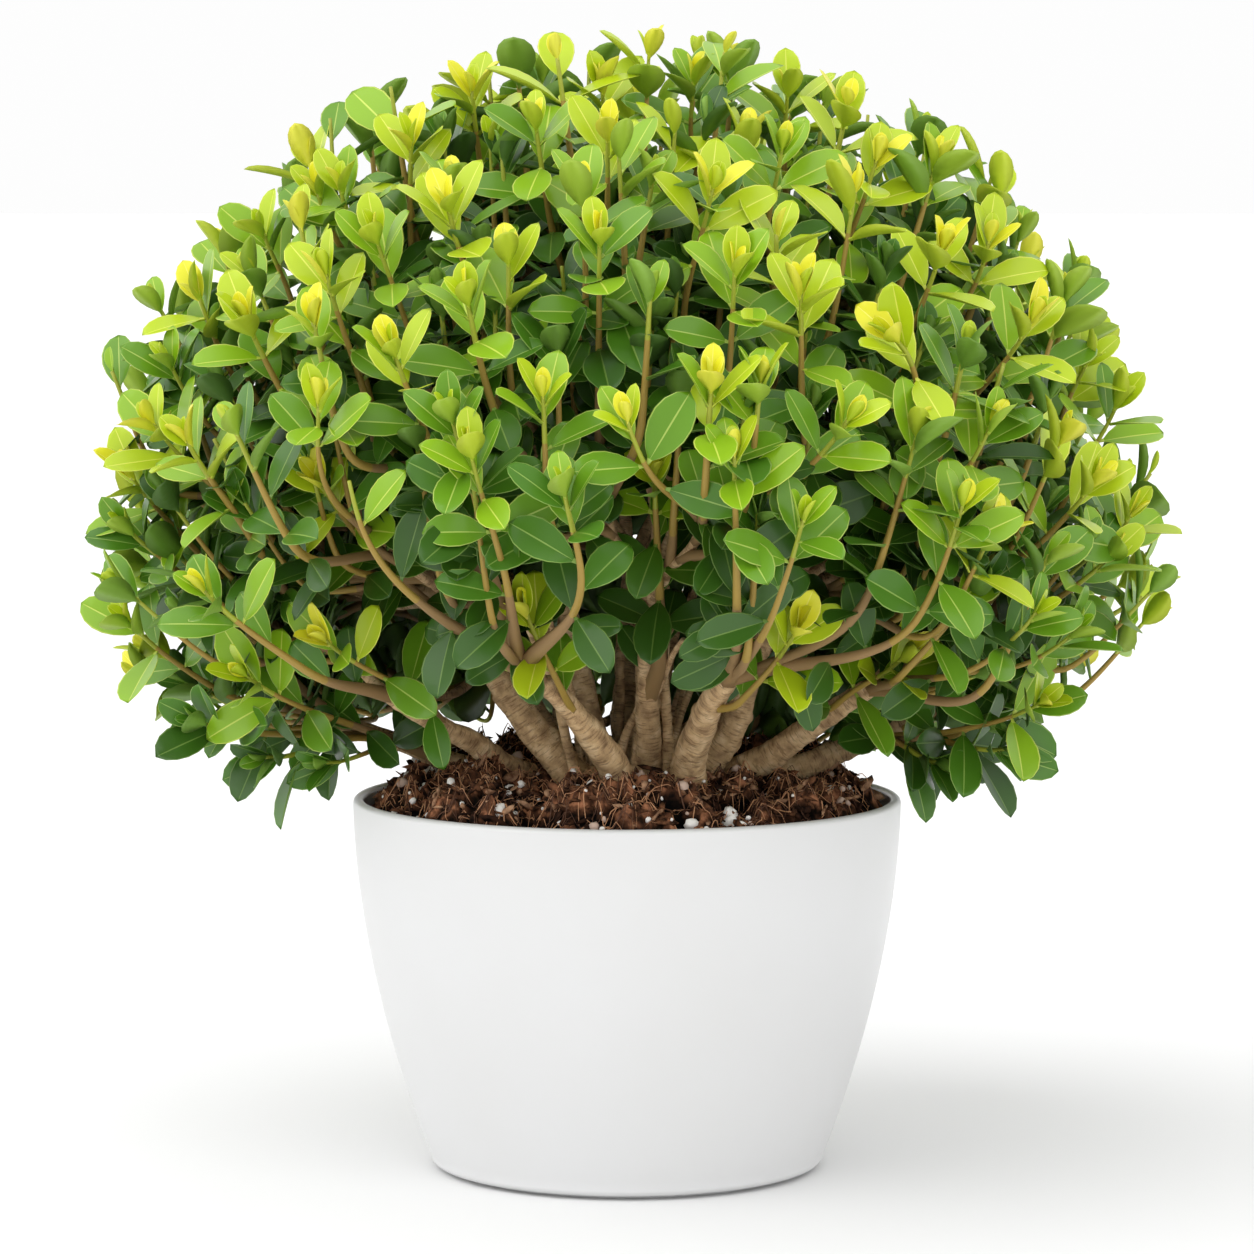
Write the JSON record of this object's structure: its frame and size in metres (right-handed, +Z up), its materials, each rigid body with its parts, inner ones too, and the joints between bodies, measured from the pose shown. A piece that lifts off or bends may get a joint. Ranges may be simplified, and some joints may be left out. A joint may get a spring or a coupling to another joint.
{
  "type": "potted box topiary ball",
  "caption": "Dense domed ball of box foliage on many stems that fan out of the soil in a round tapered white pot.",
  "frame": {"origin": "centre of the flat underside of the pot's foot, on the surface that the pot stands on", "axes": "+Z up the pot's axis towards the crown, -Y towards the front from which the open underside of the crown and the stems show, +X to the right seen from the front"},
  "size_m": [0.3866, 0.3875, 0.4158],
  "materials": {
    "pot": "smooth white injection-moulded plastic with a soft satin gloss",
    "soil": "damp dark red-brown mix of bark and coir with white perlite",
    "bark": "grey-brown bark with fine rings and ridges",
    "foliage": "small glossy leaves, dark green inside and yellow-green at the tips"
  },
  "bodies": {
    "root": {"pot": "pot", "soil": "soil", "stem_low_1": "bark", "stem_low_2": "bark", "stem_low_3": "bark", "stem_low_4": "bark", "stem_low_5": "bark", "stem_low_6": "bark", "stem_low_7": "bark", "stem_low_8": "bark", "stem_mid_1": "bark", "stem_mid_2": "bark", "stem_mid_3": "bark", "stem_mid_4": "bark", "stem_mid_5": "bark", "stem_mid_6": "bark", "stem_top_1": "bark", "stem_top_2": "bark", "stem_top_3": "bark", "foliage_low_1": "foliage", "foliage_low_2": "foliage", "foliage_low_3": "foliage", "foliage_low_4": "foliage", "foliage_low_5": "foliage", "foliage_low_6": "foliage", "foliage_low_7": "foliage", "foliage_low_8": "foliage", "foliage_mid_1": "foliage", "foliage_mid_2": "foliage", "foliage_mid_3": "foliage", "foliage_mid_4": "foliage", "foliage_mid_5": "foliage", "foliage_mid_6": "foliage", "foliage_top_1": "foliage", "foliage_top_2": "foliage", "foliage_top_3": "foliage"}
  },
  "joints": []
}
